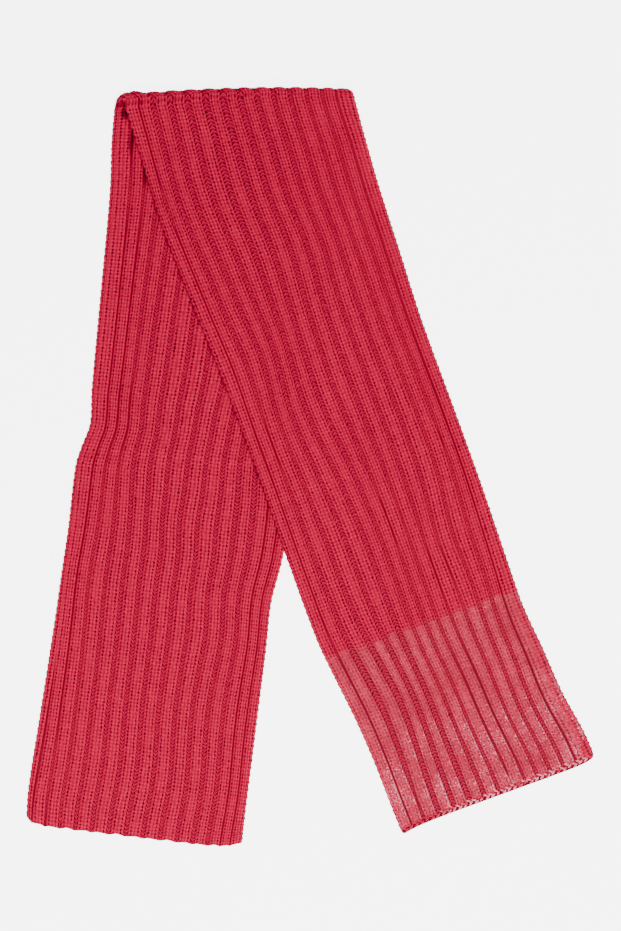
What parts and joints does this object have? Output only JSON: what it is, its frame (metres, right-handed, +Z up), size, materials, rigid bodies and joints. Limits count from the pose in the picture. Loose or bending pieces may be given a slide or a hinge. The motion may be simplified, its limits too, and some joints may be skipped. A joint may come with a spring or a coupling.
{
  "type": "ribbed knit scarf",
  "caption": "Long wide-rib knitted scarf, laid flat and folded over itself, with a foil-coated stretch at one end.",
  "frame": {"origin": "middle of the laid scarf's footprint, on the surface it lies on", "axes": "+Z up from the surface, +Y from the loose ends towards the fold, +X to the right seen from above, the side that the foil-coated end lies on"},
  "size_m": [0.6076, 0.8116, 0.0126],
  "materials": {
    "knit": "matte wide-rib knit in raspberry red",
    "foil_knit": "the same knit with a worn pinkish-silver foil coating on its ribs, satin"
  },
  "bodies": {
    "root": {"lower_stretch": "knit", "fold_stretch": "knit", "upper_stretch": "knit", "foil_stretch": "foil_knit", "bind_off_edge": "foil_knit"}
  },
  "joints": []
}
